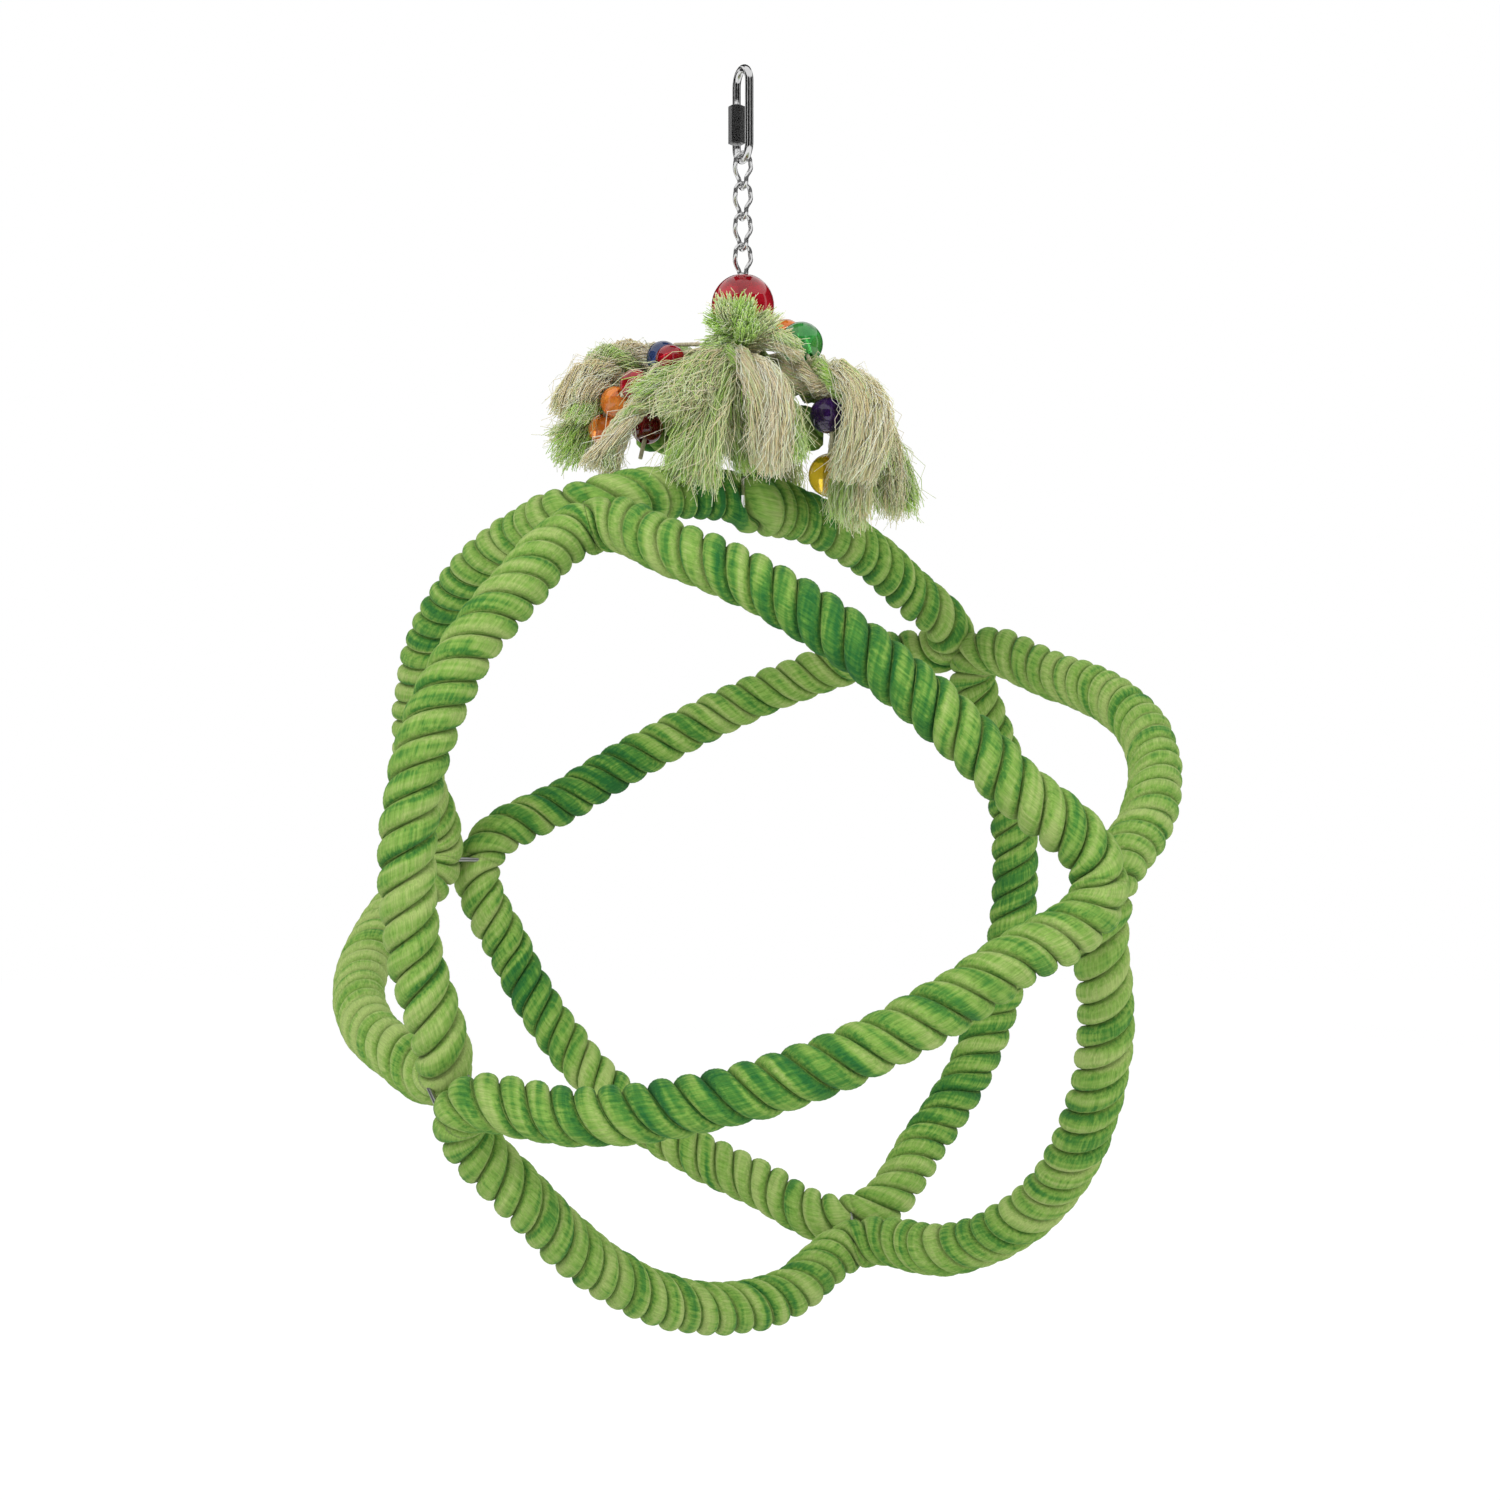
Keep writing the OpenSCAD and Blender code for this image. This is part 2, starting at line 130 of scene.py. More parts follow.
# Tassels: finish, share that stays twisted, how frizzy it is, points from the cord wrapping to the tip,
# radius at each point, number of yarns, and for each strand how far its end lies from the tip and its tint
# from lime to cream
TASSELS = [
    ("cream", 0.72, 0.8, [(-10, 2, -138), (-28, 13, -137), (-46, 14, -137), (-61, 7, -138), (-71, 2, -146),
                          (-78, -1, -156), (-82, -2, -165)], (5, 9, 11, 12, 12, 11, 10), 1200,
     [(-6, 0, 3, 0.75), (-1, -4, 0, 0.3), (5, 2, 1, 0.85)]),
    ("sage", 0.4, 1.3, [(-9.5, 4, -147), (-36, 20, -147), (-62, 28, -152), (-77, 24, -166), (-83, 20, -178)],
     (5, 7, 9, 12, 12), 950, [(-10, 0, 6, 0.3), (-3, -2, -8, 0.12), (9, 0, -6, 0.6)]),
    ("cream", 0.6, 0.8, [(-9, -6, -147), (-31, -25, -155), (-49, -36, -166), (-60, -38, -182),
                         (-65, -38, -195)], (4, 5, 5.5, 6.5, 7), 700,
     [(-4, 0, 3, 0.85), (4, -2, 0, 0.4), (0, 2, -2, 0.9)]),
    ("sage", 0.1, 2.3, [(-4, -9.5, -138), (-10, -28, -143), (-20, -39, -155), (-26, -45, -167)],
     (5, 8, 9.5, 9.5), 2000,
     [(-23, 5, 8, 0.1), (-11, -4, -2, 0.38), (-8, -2, -33, 0.12), (9, -6, -38, 0.3), (12, 2, -14, 0.2),
      (2, -9, 2, 0.35)]),
    ("cream", 0.42, 1.2, [(3, -10, -138), (-7, -25, -139), (0, -33, -143), (10, -42, -154), (15, -46, -168),
                          (15.5, -48, -182), (15.5, -48, -195)], (5, 5, 6.5, 9, 10.5, 10, 9), 1400,
     [(-4, 0, 2, 0.65), (6, -2, 5, 0.12), (0, -3, -2, 0.8)]),
    ("sage", 0.05, 0.8, [(-3, -10, -132), (-2, -19, -130), (0, -26, -128), (1, -32, -126)],
     (4, 6, 8, 9), 1700,
     [(-15, 3, 0, 0.05), (-7, 0, 9, 0.35), (4, -1, 11, 0.1), (14, 2, 6, 0.4), (0, -6, 2, 0.05),
      (14, 3, -5, 0.5), (-19, 2, -12, 0.2)]),
    ("cream", 0.15, 0.8, [(8, -7.5, -131), (12, -22, -131), (18, -28, -134), (26, -30, -139)],
     (3, 4, 4.5, 3.5), 420, [(0, 0, 2, 0.3), (2, 0, 0, 0.8), (0, 0, -2, 0.6)]),
    ("cream", 0.5, 1.1, [(9.5, -5, -138), (22, -14, -145), (35, -22, -149), (48, -28, -152), (57, -33, -163),
                         (58, -34, -180), (53, -34, -197)], (5, 7.5, 9.5, 10, 11, 11.5, 10), 1750,
     [(-4, 0, -1, 0.65), (6, 2, 8, 0.12), (0, -3, 0, 0.75)]),
    ("sage", 0.45, 1.2, [(10.5, 0, -147), (28, -3, -149), (44, 0, -157), (52, -8, -173), (52, -14, -192),
                         (51, -15, -215)], (5, 8, 9, 10.5, 10.5, 9.5), 1250,
     [(-4, 0, 0, 0.15), (4, 0, -3, 0.45), (0, -3, 2, 0.6)]),
    ("sage", 0.45, 1.2, [(8, 6, -138), (30, 20, -140), (54, 20, -150), (67, 12, -172), (72, 5, -192),
                         (73, 1, -209)], (5, 6, 7, 8.5, 9, 8), 900,
     [(-4, 0, 2, 0.3), (4, 0, 0, 0.15), (0, 0, -3, 0.6)]),
    ("sage", 0.4, 1.5, [(-4.5, 9, -138), (-18, 33, -138), (-28, 45, -162), (-32, 48, -192)],
     (5, 7, 10, 12), 850, [(-5, 0, 3, 0.3), (16, 3, 0, 0.1), (6, -3, -2, 0.5)]),
    ("cream", 0.4, 1.5, [(3, 10, -147), (10, 35, -147), (16, 50, -170), (18, 57, -196)],
     (5, 7, 10, 11), 850, [(-15, 0, 3, 0.8), (5, 3, 0, 0.4), (0, -3, -2, 0.9)]),
    ("sage", 0.1, 1.6, [(0, -10.5, -147), (-3, -23, -150), (-2, -29, -163), (1, -33, -182)],
     (6, 11, 12, 9), 1300, [(4, -3, -12, 0.05), (-14, 5, 6, 0.6), (9, 0, -6, 0.25), (-4, 2, -4, 0.4)]),
]

# Yarns of a tassel: points along each, lay of its cord, wave length and size of their crimp, and spread of
# their tips
YARN_POINTS = 12
CORD_LAY = 36 * MM
YARN_CRIMP = ((31 * MM, 0.8 * MM), (17 * MM, 0.35 * MM))
YARN_SPREAD = 1.3 * MM
# Strands of a tassel as shares of its radius: place of their middle, how far that moves in where they open,
# their radius, and what open yarns and short yarns add to it
STRAND_OUT = 0.54
STRAND_CLOSES = 0.2
STRAND_R = 0.46
OPEN_ADDS = 0.14
SHORT_ADDS = 1.2
# Twist: turn that is left where a strand is open, and backward turn of the yarns in their strand
OPEN_TURN = 0.1
YARN_BACK_TURN = 0.7
# How far a tip strays, and what wild and short yarns add to it
STRAY = 0.6
WILD_STRAY = 1.5
SHORT_STRAY = 1.5
# Share of its thickness that a wild yarn lacks, and that each yarn loses towards its tip
WILD_THIN = 0.4
TIP_THIN = 0.45
# Share of yarns that reach the tip, and how far they and the shorter ones reach
FULL_SHARE = 0.7
FULL_REACH = (0.93, 1.03)
SHORT_REACH = (0.5, 0.93)
# Wild yarns: share, how wild they and the others are, size and length of their curls, and how early they
# leave the twist
WILD_SHARE = 0.18
WILD_RANGE = (0.3, 1)
TAME_RANGE = (0, 0.12)
WILD_CURL = 5 * MM
WILD_LENGTH = 27 * MM
WILD_LEAVES = 0.8
# Tints of the cotton from lime to the palest cream, spread in a strand, share of the strand's own tint, and
# how far wild yarns go towards the palest
COTTON_TINTS = ("#9CCB52", "#A6C46C", "#CDD8A4", "#D8C294", "#EADBBE", "#EFF3D6")
TINT_SPREAD = 0.17
TINT_SHARE = 0.8
WILD_PALE = 0.4
TASSEL_SEED = 100

# Bead strings: name, both ends, and the name, material, middle and diameter of each bead
STRINGS = [
    ("left", (-8, -7, -131), (-64, 9, -188), [
        ("bead_left_scarlet", "red_bead", (-34, -23, -141), 14),
        ("bead_left_ruby", "red_bead", (-50.5, -20, -152.5), 15),
        ("bead_left_amber", "orange_bead", (-60.5, -6, -158.5), 15),
        ("bead_left_tangerine", "orange_bead", (-67, 6.5, -170), 15)]),
    ("inner", (-10.5, 0, -131), (-48, -27, -188), [
        ("bead_inner_navy", "navy_bead", (-38, -6, -137.5), 16),
        ("bead_inner_garnet", "garnet_bead", (-45, -21, -173), 15)]),
    ("right", (4, 10, -131), (42, 5, -210), [
        ("bead_right_orange", "orange_bead", (21, 20, -122), 15),
        ("bead_right_green", "green_bead", (28, 2, -129.5), 21),
        ("bead_right_plum", "plum_bead", (40, -21, -167), 17),
        ("bead_right_yellow", "yellow_bead", (42, 3, -192.5), 21)]),
]
# Diameter of a string, its straight lead on each side of a bead, and the room that yarns leave round a bead
STRING_D = 2 * MM
BEAD_LEAD = 1.5 * MM
BEAD_CLEAR = 1.8 * MM
# Deep and bright tint of each bead plastic
BEAD_TINTS = {
    "red_bead": ("#A60F20", "#CC2233"), "orange_bead": ("#F78420", "#FFA850"),
    "navy_bead": ("#22325F", "#40548A"), "garnet_bead": ("#6A0A14", "#931C28"),
    "green_bead": ("#2E9440", "#5ABC5C"), "plum_bead": ("#33184E", "#553080"),
    "yellow_bead": ("#D9B21E", "#EFD03C"),
}
# Cord wrapping: radius of its cord, its turns, and the steps of one turn
WRAP_CORD_R = 1.6 * MM
WRAP_TURNS = 8
WRAP_STEPS = 24

# Quick link: its turn, rod, bow radius, bow middles and the ends of the rod inside the sleeve
QUICK_TURN = math.radians(-65)
QUICK_ROD = 4 * MM
QUICK_BOW = 7.25 * MM
QUICK_TOP = -5.25 * MM
QUICK_FOOT = -34.25 * MM
GATE_ENDS = (-30.25 * MM, -24.25 * MM)
# Chain: its wire, radius of a link's bows, and the pitch, length, first place and number of its links
CHAIN_WIRE = 2.1 * MM
BOW_R = 3.8 * MM
LINK_PITCH = 14.7 * MM
LINK_LEN = 17.1 * MM
FIRST_LINK_Z = -38.15 * MM
LINKS = 4

# Camera of the photograph, for a square picture
CAMERA_AT = (0.0034, -1.171, -0.3246)
CAMERA_LENS = 58.6
CAMERA_SENSOR = 36.0

# Studio, in metres: sky light, floor, and the name, place, size and power of each lamp
SKY_LIGHT = 0.62
FLOOR_HALF = 3.0
FLOOR_Z = -0.72
FLOOR_GLOW = 1.08
LAMP_TARGET = (0, 0, -0.33)
LAMPS = (
    ("key", (-0.9, -1.3, 0.7), 0.9, 17.0),
    ("fill", (1.2, -1.1, 0.1), 1.2, 9.0),
    ("rim", (0.2, 1.3, 0.6), 1.0, 9.0),
)
# Dark panels round the swing, with their turn in degrees, and a small one by the quick link
FLAGS = 5
FLAG_TURN = -14
FLAG_HALF = (1.3, 1.4)
FLAG_AT = (0, -2.2, -0.1)
LINK_FLAG_HALF = (0.05, 0.06)
LINK_FLAG_AT = (0, 0.075, 0.06)


def srgb(code):
    """Linear colour with alpha from a hex code."""
    parts = [int(code[i:i + 2], 16) / 255 for i in (1, 3, 5)]
    return tuple(c / 12.92 if c <= 0.04045 else ((c + 0.055) / 1.055) ** 2.4 for c in parts) + (1.0,)


class SwingSizes(bpy.types.PropertyGroup):
    """Sizes of the rope and of the loose yarns"""

    rope_radius: bpy.props.FloatProperty(
        name="Rope Radius", description="Radius over the strands", default=12.6 * MM,
        min=11 * MM, max=13 * MM, subtype="DISTANCE", unit="LENGTH")
    crease_radius: bpy.props.FloatProperty(
        name="Crease Radius", description="Radius at the bottom of the lay", default=8.4 * MM,
        min=6 * MM, max=11 * MM, subtype="DISTANCE", unit="LENGTH")
    rope_turns: bpy.props.IntProperty(
        name="Rope Turns", description="Turns of the lay along the whole rope", default=102, min=60, max=130)
    ring_step: bpy.props.FloatProperty(
        name="Ring Step", description="Distance between rings of the rope's surface", default=2.1 * MM,
        min=1 * MM, max=6 * MM, subtype="DISTANCE", unit="LENGTH")
    yarn_radius: bpy.props.FloatProperty(
        name="Yarn Radius", description="Radius of a loose tassel yarn at its root", default=0.33 * MM,
        min=0.2 * MM, max=1 * MM, subtype="DISTANCE", unit="LENGTH")


class SwingColours(bpy.types.PropertyGroup):
    """Colours of the rope's dye"""

    dye_dark: bpy.props.FloatVectorProperty(
        name="Dark Dye", description="Darkest patches of the rope", default=srgb("#2C6A33"),
        size=4, min=0, max=1, subtype="COLOR")
    dye_green: bpy.props.FloatVectorProperty(
        name="Green Dye", description="Middle green of the rope", default=srgb("#4F8638"),
        size=4, min=0, max=1, subtype="COLOR")
    dye_lime: bpy.props.FloatVectorProperty(
        name="Lime Dye", description="Main lime of the rope", default=srgb("#7FA64B"),
        size=4, min=0, max=1, subtype="COLOR")
    dye_pale: bpy.props.FloatVectorProperty(
        name="Pale Dye", description="Palest cotton of the rope", default=srgb("#A3B96C"),
        size=4, min=0, max=1, subtype="COLOR")


def sizes():
    return bpy.context.scene.swing_sizes


def colours():
    return bpy.context.scene.swing_colours


# Vectors and paths

def unit(v):
    return v / np.linalg.norm(v, axis=-1, keepdims=True)


def hermite(points, closed, steps):
    """Smooth points through the given ones, the same curve as the solids follow."""
    pts = np.asarray(points, float)
    n = len(pts)
    if closed:
        tangents = unit(np.roll(pts, -1, 0) - np.roll(pts, 1, 0))
    else:
        ahead = pts[np.minimum(np.arange(n) + 1, n - 1)]
        behind = pts[np.maximum(np.arange(n) - 1, 0)]
        tangents = unit(ahead - behind)
    out = []
    for i in range(n if closed else n - 1):
        p, q = pts[i], pts[(i + 1) % n]
        reach = np.linalg.norm(q - p)
        a, b = tangents[i] * reach, tangents[(i + 1) % n] * reach
        for t in np.arange(steps) / steps:
            out.append((2 * t**3 - 3 * t**2 + 1) * p + (t**3 - 2 * t**2 + t) * a
                       + (3 * t**2 - 2 * t**3) * q + (t**3 - t**2) * b)
    if not closed:
        out.append(pts[-1])
    return np.array(out)


def rope_bend(i, pressed=0.0):
    joint, side = ROUTE[i % ARCS][:2]
    return JOINTS[joint] + (KISS - pressed) * side * unit(KISS_AXES[joint])


def rope_arc_point(i, t):
    a, b = rope_bend(i), rope_bend(i + 1)
    c = 2 * np.array(ROUTE[i][2]) * MM - (a + b) / 2
    return (1 - t) ** 2 * a + 2 * t * (1 - t) * c + t * t * b


def rope_knots():
    knots = []
    for i in range(ARCS):
        knots.append(rope_bend(i, PRESSED[ROUTE[i][0]]))
        knots += [rope_arc_point(i, t) for t in ARC_KNOTS]
    return np.array(knots)


def ball_middle(knots):
    hung = knots[HUNG_KNOT]
    return np.array((-hung[0], -hung[1], -BALL_DROP))


def lengths_along(points):
    return np.concatenate([[0], np.cumsum(np.linalg.norm(np.diff(points, axis=0), axis=1))])


def resample(points, count):
    """The given number of points at even distances along a path."""
    run = lengths_along(points)
    at = np.linspace(0, run[-1], count)
    return np.stack([np.interp(at, run, points[:, k]) for k in range(3)], 1), at


def carried_sides(points, first_side):
    """A side direction for each point of a path, carried along without twisting."""
    tangents = unit(np.gradient(points, axis=0))
    side = np.array(first_side, float)
    sides = []
    for t in tangents:
        side = unit(side - (side @ t) * t)
        sides.append(side)
    return tangents, np.array(sides)


# Meshes

def new_piece(name, mesh, body, material, node):
    """Adds a finished piece that rides on a body and stands for a solid."""
    piece = bpy.data.objects.new(name, mesh)
    bpy.context.collection.objects.link(piece)
    mesh.materials.clear()
    mesh.materials.append(material)
    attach(piece, body)
    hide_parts(node)


def loft(rings, marks=None, closed=False):
    """Extrudes one ring of vertices through a row of rings, with vector marks on the vertices."""
    marks = marks or {}
    bm = bmesh.new()
    layers = {name: bm.verts.layers.float_vector.new(name) for name in marks}
    ring = bmesh.ops.create_circle(bm, cap_ends=not closed, segments=len(rings[0]), radius=1)["verts"]

    def place(verts, i):
        for k, v in enumerate(verts):
            v.co = rings[i][k]
            for name, layer in layers.items():
                v[layer] = marks[name][i][k]

    place(ring, 0)
    first_edges = edges = bm.edges[:]
    for i in range(1, len(rings)):
        made = bmesh.ops.extrude_edge_only(bm, edges=edges)["geom"]
        fresh = {v for v in made if isinstance(v, bmesh.types.BMVert)}
        ring = [next(e.other_vert(v) for e in v.link_edges if e.other_vert(v) in fresh) for v in ring]
        edges = [e for e in made if isinstance(e, bmesh.types.BMEdge)
                 and e.verts[0] in fresh and e.verts[1] in fresh]
        place(ring, i)
    if closed:
        bmesh.ops.bridge_loops(bm, edges=first_edges + edges)
    else:
        bmesh.ops.edgeloop_fill(bm, edges=edges)
    bmesh.ops.recalc_face_normals(bm, faces=bm.faces)
    return bm


def finish_mesh(bm, name, smooth=True):
    mesh = bpy.data.meshes.new(name)
    for face in bm.faces:
        face.smooth = smooth
    bm.to_mesh(mesh)
    bm.free()
    return mesh


# Materials

class Paint:
    """Adds nodes to one material, laid out in the order they are made."""

    def __init__(self, name):
        self.material = bpy.data.materials.get(name) or bpy.data.materials.new(name)
        self.material.use_nodes = True
        self.tree = self.material.node_tree
        self.tree.nodes.clear()
        self.output = self.add("ShaderNodeOutputMaterial")
        self.shader = self.add("ShaderNodeBsdfPrincipled")
        self.join(self.shader.outputs["BSDF"], self.output.inputs["Surface"])

    def add(self, kind, **inputs):
        node = self.tree.nodes.new(kind)
        node.location = (-200 * len(self.tree.nodes), 0)
        for name, value in inputs.items():
            node.inputs[name.replace("_", " ")].default_value = value
        return node

    def join(self, source, target):
        self.tree.links.new(source, target)

    def set(self, **values):
        for name, value in values.items():
            self.shader.inputs[name.replace("_", " ")].default_value = value

    def attribute(self, name):
        node = self.add("ShaderNodeAttribute")
        node.attribute_name = name
        return node.outputs["Vector"]

    def split(self, vector):
        node = self.add("ShaderNodeSeparateXYZ")
        self.join(vector, node.inputs[0])
        return node.outputs

    def object_coordinates(self):
        return self.add("ShaderNodeTexCoord").outputs["Object"]

    def noise(self, vector, scale, detail=2.0, roughness=0.5):
        mapping = self.add("ShaderNodeMapping", Scale=scale)
        self.join(vector, mapping.inputs["Vector"])
        noise = self.add("ShaderNodeTexNoise", Scale=1.0, Detail=detail, Roughness=roughness)
        self.join(mapping.outputs[0], noise.inputs["Vector"])
        return noise.outputs[0]

    def math(self, operation, a, b):
        node = self.add("ShaderNodeMath")
        node.operation = operation
        for socket, value in zip(node.inputs, (a, b)):
            if isinstance(value, (int, float)):
                socket.default_value = value
            else:
                self.join(value, socket)
        return node.outputs[0]

    def ramp(self, value, *stops):
        node = self.add("ShaderNodeValToRGB")
        elements = node.color_ramp.elements
        while len(elements) < len(stops):
            elements.new(0.5)
        for element, (position, colour) in zip(elements, stops):
            element.position = position
            element.color = colour
        self.join(value, node.inputs[0])
        return node.outputs[0]

    def mix(self, factor, a, b, blend="MIX"):
        node = self.add("ShaderNodeMix")
        node.data_type = "RGBA"
        node.blend_type = blend
        for socket, value in zip((node.inputs[0], node.inputs[6], node.inputs[7]), (factor, a, b)):
            if isinstance(value, (int, float, tuple)):
                socket.default_value = value
            else:
                self.join(value, socket)
        return node.outputs[2]

    def bump(self, height, distance, strength=1.0):
        node = self.add("ShaderNodeBump", Strength=strength, Distance=distance)
        self.join(height, node.inputs["Height"])
        self.join(node.outputs[0], self.shader.inputs["Normal"])

    def colour(self, source):
        self.join(source, self.shader.inputs["Base Color"])

    def roughness(self, source):
        self.join(source, self.shader.inputs["Roughness"])


def grey(value):
    return (value, value, value, 1.0)


def laid_rope_material():
    """Tie-dyed cotton: soft fibres along the rope, dye patches strand by strand, and painted shade in the
    creases.
    """
    paint = Paint("laid_rope")
    hues = colours()
    straight = paint.attribute("straight")
    dye = paint.attribute("dye")
    shade = paint.split(paint.attribute("shade"))
    tone, crease = shade[0], shade[1]
    patches = paint.noise(dye, (1.0, 1.0, 1.0), 2.5, 0.55)
    feather = paint.noise(straight, (48, 700, 700), 2.0, 0.5)
    fibres = paint.noise(straight, (70, 1900, 1900), 2.0, 0.6)
    level = paint.math("ADD", patches, tone)
    level = paint.math("ADD", level, paint.math("MULTIPLY", paint.math("SUBTRACT", feather, 0.5), 0.4))
    base = paint.ramp(
        level, (0.24, tuple(hues.dye_dark)), (0.39, tuple(hues.dye_green)), (0.52, tuple(hues.dye_lime)),
        (0.72, tuple(hues.dye_pale)))
    base = paint.mix(0.8, base, paint.ramp(fibres, (0.3, grey(0.72)), (0.7, grey(1.14))), "MULTIPLY")
    # Painted shade: the colour darkens towards the bottom of each crease between strands
    base = paint.mix(1.0, base, paint.ramp(crease, (0.1, grey(1.0)), (0.6, grey(0.9)), (1.0, grey(0.42))),
                     "MULTIPLY")
    paint.colour(base)
    paint.set(Roughness=0.92, Sheen_Weight=0.05, Sheen_Roughness=0.5, Specular_IOR_Level=0.1)
    paint.bump(paint.math("ADD", feather, paint.math("MULTIPLY", fibres, 0.8)), 0.35 * MM, 0.7)
    return paint.material


def frayed_cotton_material():
    """Loose yarns: each has its own tint, some tips keep a little dye, and painted shade darkens the roots.
    """
    paint = Paint("frayed_cotton")
    yarn = paint.split(paint.attribute("yarn"))
    base = paint.ramp(yarn[0], *[(k / (len(COTTON_TINTS) - 1), srgb(t)) for k, t in enumerate(COTTON_TINTS)])
    base = paint.mix(paint.math("MULTIPLY", yarn[1], yarn[2]), base, srgb("#D2E2B8"))
    # Painted shade: yarns darken towards their roots inside the tuft and brighten a little towards their tips
    shade = paint.ramp(yarn[1], (0.0, grey(0.66)), (0.3, grey(0.94)), (1.0, grey(1.08)))
    base = paint.mix(1.0, base, shade, "MULTIPLY")
    mottle = paint.noise(paint.object_coordinates(), (800, 800, 300), 2.0, 0.6)
    base = paint.mix(0.4, base, paint.ramp(mottle, (0.3, grey(0.8)), (0.7, grey(1.1))), "MULTIPLY")
    paint.colour(base)
    paint.set(Roughness=0.95, Sheen_Weight=0.2, Sheen_Roughness=0.5, Specular_IOR_Level=0.1,
              Subsurface_Weight=0.6, Subsurface_Radius=(1.0, 0.95, 0.7), Subsurface_Scale=0.8 * MM)
    paint.bump(mottle, 0.2 * MM, 0.5)
    return paint.material


def cotton_cord_material():
    paint = Paint("cotton_cord")
    where = paint.object_coordinates()
    fibres = paint.noise(where, (1400, 1400, 500), 3.0, 0.6)
    paint.colour(paint.ramp(fibres, (0.3, srgb("#A89E80")), (0.7, srgb("#DDD5BC"))))
    paint.set(Roughness=0.95, Sheen_Weight=0.25, Specular_IOR_Level=0.15)
    paint.bump(fibres, 0.25 * MM, 0.7)
    return paint.material


def bead_material(name, deep, bright):
    """Clear tinted plastic with faint swirls."""
    paint = Paint(name)
    where = paint.object_coordinates()
    swirl = paint.noise(where, (130, 130, 130), 2.0, 0.5)
    paint.colour(paint.ramp(swirl, (0.35, srgb(deep)), (0.65, srgb(bright))))
    wear = paint.noise(where, (900, 900, 900), 3.0, 0.6)
    paint.roughness(paint.ramp(wear, (0.3, grey(0.03)), (0.75, grey(0.09))))
    paint.set(Transmission_Weight=0.58, IOR=1.49, Coat_Weight=0.4, Coat_Roughness=0.03)
    return paint.material


def steel_material(name, tone, rough, brushed=0.0):
    """Bright bent wire with fine drawing marks and faint smudges."""
    paint = Paint(name)
    where = paint.object_coordinates()
    smudge = paint.noise(where, (220, 220, 220), 3.0, 0.6)
    marks = paint.noise(where, (2600, 2600, 500), 2.0, 0.5)
    paint.colour(paint.ramp(smudge, (0.3, grey(tone * 0.86)), (0.7, grey(tone))))
    paint.roughness(paint.ramp(marks, (0.3, grey(rough)), (0.7, grey(rough + 0.06))))
    paint.set(Metallic=1.0)
    if brushed:
        paint.bump(marks, 0.05 * MM, brushed)
    return paint.material


def bright_steel_material():
    return steel_material("bright_steel", tone=0.74, rough=0.12)


# Pieces

def laid_rings(points, sides, tangents, run, turn, tone, swell, seed):
    """Rings of a three-strand rope along a path, with marks for its material."""
    size = sizes()
    count = STRANDS * STRAND_POINTS
    k = np.arange(count)
    across = (k % STRAND_POINTS) / STRAND_POINTS * 2 - 1
    strand = k // STRAND_POINTS
    lobe = np.sqrt(np.maximum(1 - np.abs(across) ** STRAND_ROUND, 0))
    rng = np.random.default_rng(seed)
    waves = rng.uniform(0, 2 * math.pi, (STRANDS, len(UNEVEN_WAVES)))
    rings, straight, dye, shade = [], [], [], []
    for i, p in enumerate(points):
        s = run[i]
        angle = 2 * math.pi * k / count + turn[i]
        full = np.array([sum(math.sin(s * f + waves[w][n]) for n, f in enumerate(UNEVEN_WAVES))
                         for w in range(STRANDS)])
        crest = size.rope_radius * (1 + UNEVEN * full[strand])
        r = (size.crease_radius + (crest - size.crease_radius) * lobe) * swell[i]
        out = sides[i]
        over = np.cross(tangents[i], out)
        y, z = r * np.cos(angle), r * np.sin(angle)
        rings.append(p + y[:, None] * out + z[:, None] * over)
        straight.append(np.stack([np.full(count, s), y, z], 1))
        dye.append(np.stack([np.full(count, s / DYE_LENGTH), strand * DYE_STEP + seed, across], 1))
        # The second mark grows towards each crease, and the material paints shade there
        shade.append(np.stack([np.full(count, tone[i]), np.abs(across) ** CREASE_SHADE_POWER, np.zeros(count)], 1))
    return rings, {"straight": straight, "dye": dye, "shade": shade}


def dye_tone(arc, part):
    """How pale the dye is along one arc: its own tone, run into its neighbours', less the dark patches."""
    pale = [leg[3] for leg in ROUTE]
    before, own, after = pale[arc - 1], pale[arc], pale[(arc + 1) % ARCS]
    tone = np.interp(part, (0, 0.2, 0.8, 1), ((before + own) / 2, own, own, (own + after) / 2))
    for place, middle, half in DARK_PATCHES:
        if place == arc:
            tone -= PATCH_DEPTH * np.exp(-((part - middle) / half) ** 2)
    return tone


def hung_lay(run, hung, rate):
    """Turn of the lay along the rope, with one strand that faces the front and lies open beside the loop."""
    off = (run - hung - BULGE_AT) / BULGE_HALF
    slack = BULGE_SLACK * rate * BULGE_HALF * off * np.exp(-off ** 2 / 2)
    return rate * (run - hung - BULGE_AT) + math.pi / 2 - slack


def part_at_loop(rings, points, near, loop_z):
    """Presses the stem's loop into the rope, and swells the loose strand beside it and under it."""
    for i in near:
        x = rings[i][:, 0]
        under = np.clip((loop_z - rings[i][:, 2]) / UNDER_DEPTH, 0, 1)
        rise = np.clip(x / BULGE_RISE + under, 0, 1)
        fade = np.exp(-(np.maximum(x - BULGE_FULL, 0) / BULGE_FADE) ** 2)
        swell = BULGE_SWELL * rise ** 2 * (3 - 2 * rise) * fade
        press = LOOP_PRESS * (1 - under) * np.exp(-(x / LOOP_DENT) ** 2)
        rings[i] = points[i] + (rings[i] - points[i]) * (1 + swell - press)[:, None]


